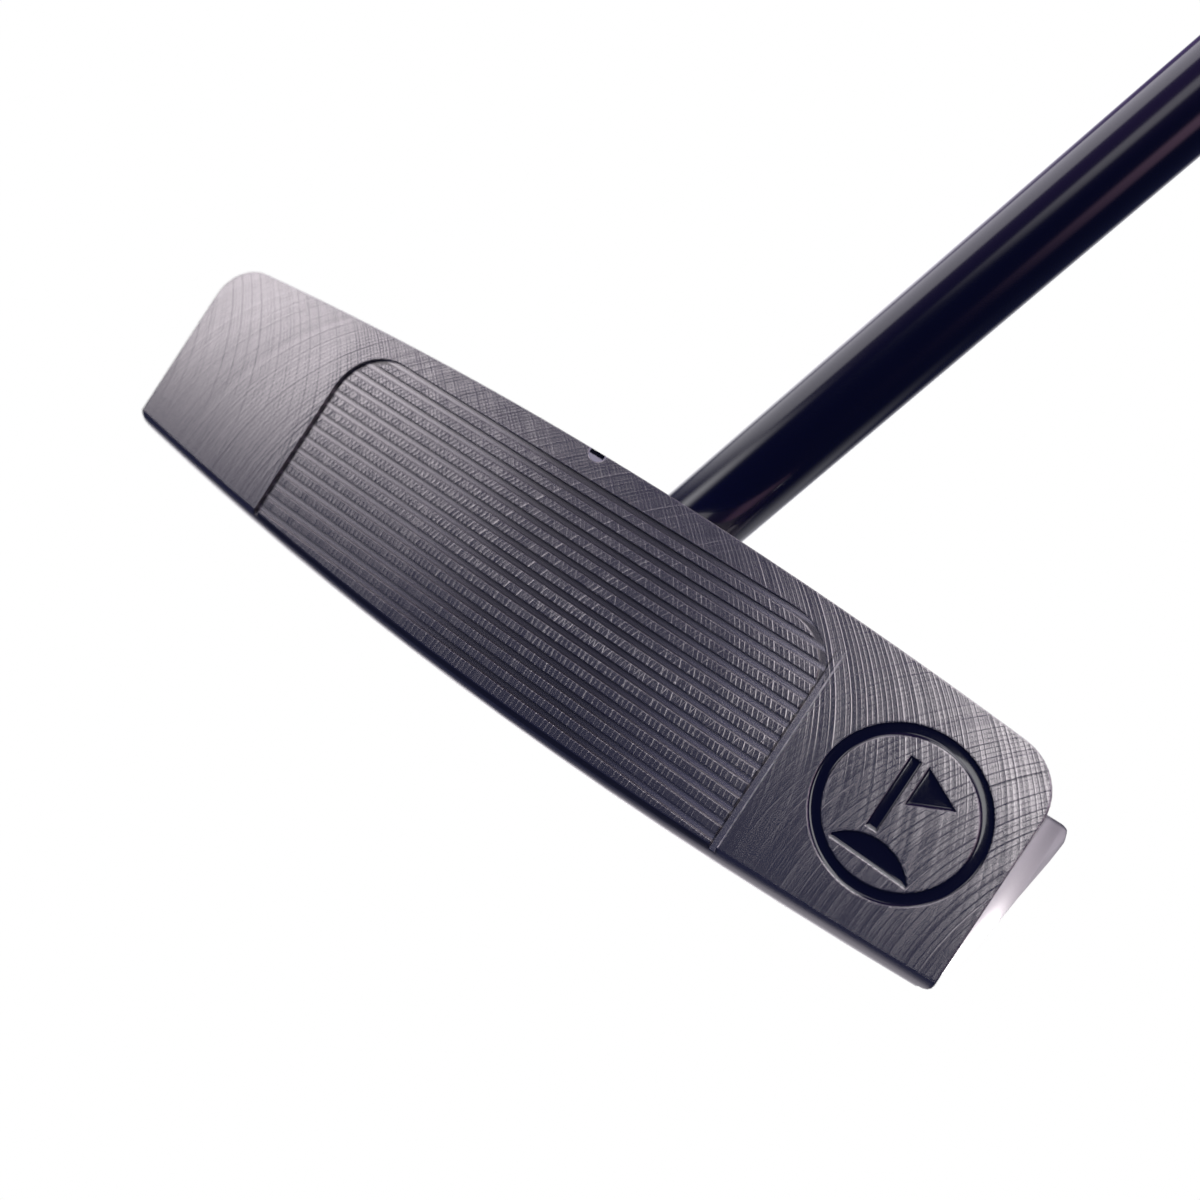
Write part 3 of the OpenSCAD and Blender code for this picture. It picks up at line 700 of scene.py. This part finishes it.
aaz = t.m("ABSOLUTE", az)
E = total([
    box_light(-112, -50, 16, 50, 4, 3, 1.20),          # left softbox
    box_light(-58, -38, 1, 13, 11, 4, 2.6),            # its lower part, nearer and brighter
    box_light(-9, 9, 17, 60, 5, 6, 1.0),               # lamp over the camera
    t.m("MULTIPLY", t.m("MAXIMUM", t.step(az, 150, 172), t.step(az, -165, -140, 1.0, 0.0)), 0.45),      # backdrop
    box_light(-178, -120, -40, 30, 8, 8, 1.0),         # light behind the toe
    t.m("MULTIPLY", t.step(el, 60, 85), 1.2),          # ceiling
    t.m("MULTIPLY", t.m("MULTIPLY", t.band(el, -50, -26, -12, -4), t.step(aaz, 105, 140)), 0.42),   # pale floor behind
])
streak = box_light(58, 79, 2, 50, 6, 8, 1.0)          # faint warm strip on the right
haze = box_light(-150, 110, 22, 60, 12, 14, 1.0)         # weak violet haze high up
lit = t.node("ShaderNodeBackground")
t.put(lit.inputs["Color"], t.vm("ADD", t.vm("ADD", t.vm("SCALE", t.comb(1.0, 0.985, 1.0), scale=E), (0.022, 0.027, 0.070)),
                              t.vm("ADD", t.vm("SCALE", t.comb(0.10, 0.055, 0.16), scale=haze),
                                   t.vm("SCALE", t.comb(0.82, 0.48, 0.66), scale=streak))))
lit.inputs["Strength"].default_value = 1.0
seen = t.node("ShaderNodeBackground")
seen.inputs["Color"].default_value = (1, 1, 1, 1)
seen.inputs["Strength"].default_value = 1.0
lp = t.node("ShaderNodeLightPath")
mixs = t.node("ShaderNodeMixShader")
t.l.new(lp.outputs["Is Camera Ray"], mixs.inputs[0])
t.l.new(lit.outputs[0], mixs.inputs[1])
t.l.new(seen.outputs[0], mixs.inputs[2])
t.l.new(mixs.outputs[0], wout.inputs["Surface"])
sc = bpy.context.scene
sc.view_settings.view_transform = "Standard"
sc.view_settings.look = "None"



def card(name, centre, target, width, height, radiance, colour=(1, 1, 1), receivers=()):
    """Rectangular lamp that lights only the pieces named."""
    la = bpy.data.lights.new(name, "AREA")
    la.shape = "RECTANGLE"
    la.size, la.size_y = width, height
    la.energy = radiance * math.pi * width * height
    la.color = colour
    o = bpy.data.objects.new(name, la)
    sc.collection.objects.link(o)
    o.location = centre
    o.rotation_euler = (Vector(target) - Vector(centre)).to_track_quat("-Z", "Z").to_euler()
    o.visible_camera = False
    if receivers:
        group = bpy.data.collections.new(name + "_receivers")
        for r in receivers:
            group.objects.link(r)
        o.light_linking.receiver_collection = group
    return o


HEAD = [NODES["head_body"]] + [bpy.data.objects[n] for n in (
    "badge_ring_enamel_fine", "badge_flagpole_enamel_fine", "badge_pennant_enamel_fine", "badge_green_enamel_fine")]
FACE_MID = Vector((0.045, -0.012, 0.015))


def toward(az_, el_, dist, base=FACE_MID):
    a, e = math.radians(az_), math.radians(el_)
    return base + Vector((math.sin(a) * math.cos(e), -math.cos(a) * math.cos(e), math.sin(e))) * dist


card("face_lamp", toward(8, 11, 1.0), FACE_MID, 0.38, 0.25, 2.3, receivers=HEAD + [NODES["sight_line_white"]])
card("face_lamp_upper", toward(8, 33, 1.0), FACE_MID, 0.45, 0.40, 0.80, receivers=HEAD + [NODES["sight_line_white"]])
card("face_lamp_side", toward(-8, 16, 1.0), FACE_MID, 0.12, 0.10, 1.4, receivers=HEAD)
card("edge_lamp", toward(2, 56, 1.0), FACE_MID, 0.50, 0.35, 3.0, receivers=HEAD)
CENTRE = Vector((0.0, -0.012, 0.015))
card("toe_card", toward(-47, 33, 3.0, CENTRE), CENTRE, 0.34, 1.75, 1.2, receivers=HEAD)
HEEL = Vector((0.0575, 0.002, 0.010))
card("heel_card", (0.092, 0.030, 0.000), HEEL, 0.060, 0.034, 0.70, (0.98, 0.92, 1.0), receivers=[NODES["head_body"]])
card("heel_near", (0.0668, 0.0040, 0.009), (0.0566, -0.0080, 0.011), 0.005, 0.030, 6.0, receivers=[NODES["head_body"]])

# ---------------------------------------------------------------- camera
F_PX = 1173.517
C = Vector((55.45, -123.02, 23.79)) * 0.001
VIEW = Vector((-0.38208, 0.92212, -0.06070)).normalized()
UP = Vector((-0.51110, -0.15610, 0.84520))
UP = (UP - VIEW * UP.dot(VIEW)).normalized()
RIGHT = VIEW.cross(UP)
cam = bpy.data.cameras.new("camera")
cam.sensor_width = 36.0
cam.lens = F_PX / 1200.0 * 36.0
cam.clip_start = 0.005
cam.clip_end = 20.0
cam.dof.use_dof = True
cam.dof.aperture_fstop = 28.0
focus = bpy.data.objects.new("focus", None)             # in focus from any side
focus.location = C + VIEW * 0.112
sc.collection.objects.link(focus)
cam.dof.focus_object = focus
co = bpy.data.objects.new("camera", cam)
sc.collection.objects.link(co)
co.matrix_world = Matrix((
    (RIGHT.x, UP.x, -VIEW.x, C.x),
    (RIGHT.y, UP.y, -VIEW.y, C.y),
    (RIGHT.z, UP.z, -VIEW.z, C.z),
    (0, 0, 0, 1)))
sc.camera = co
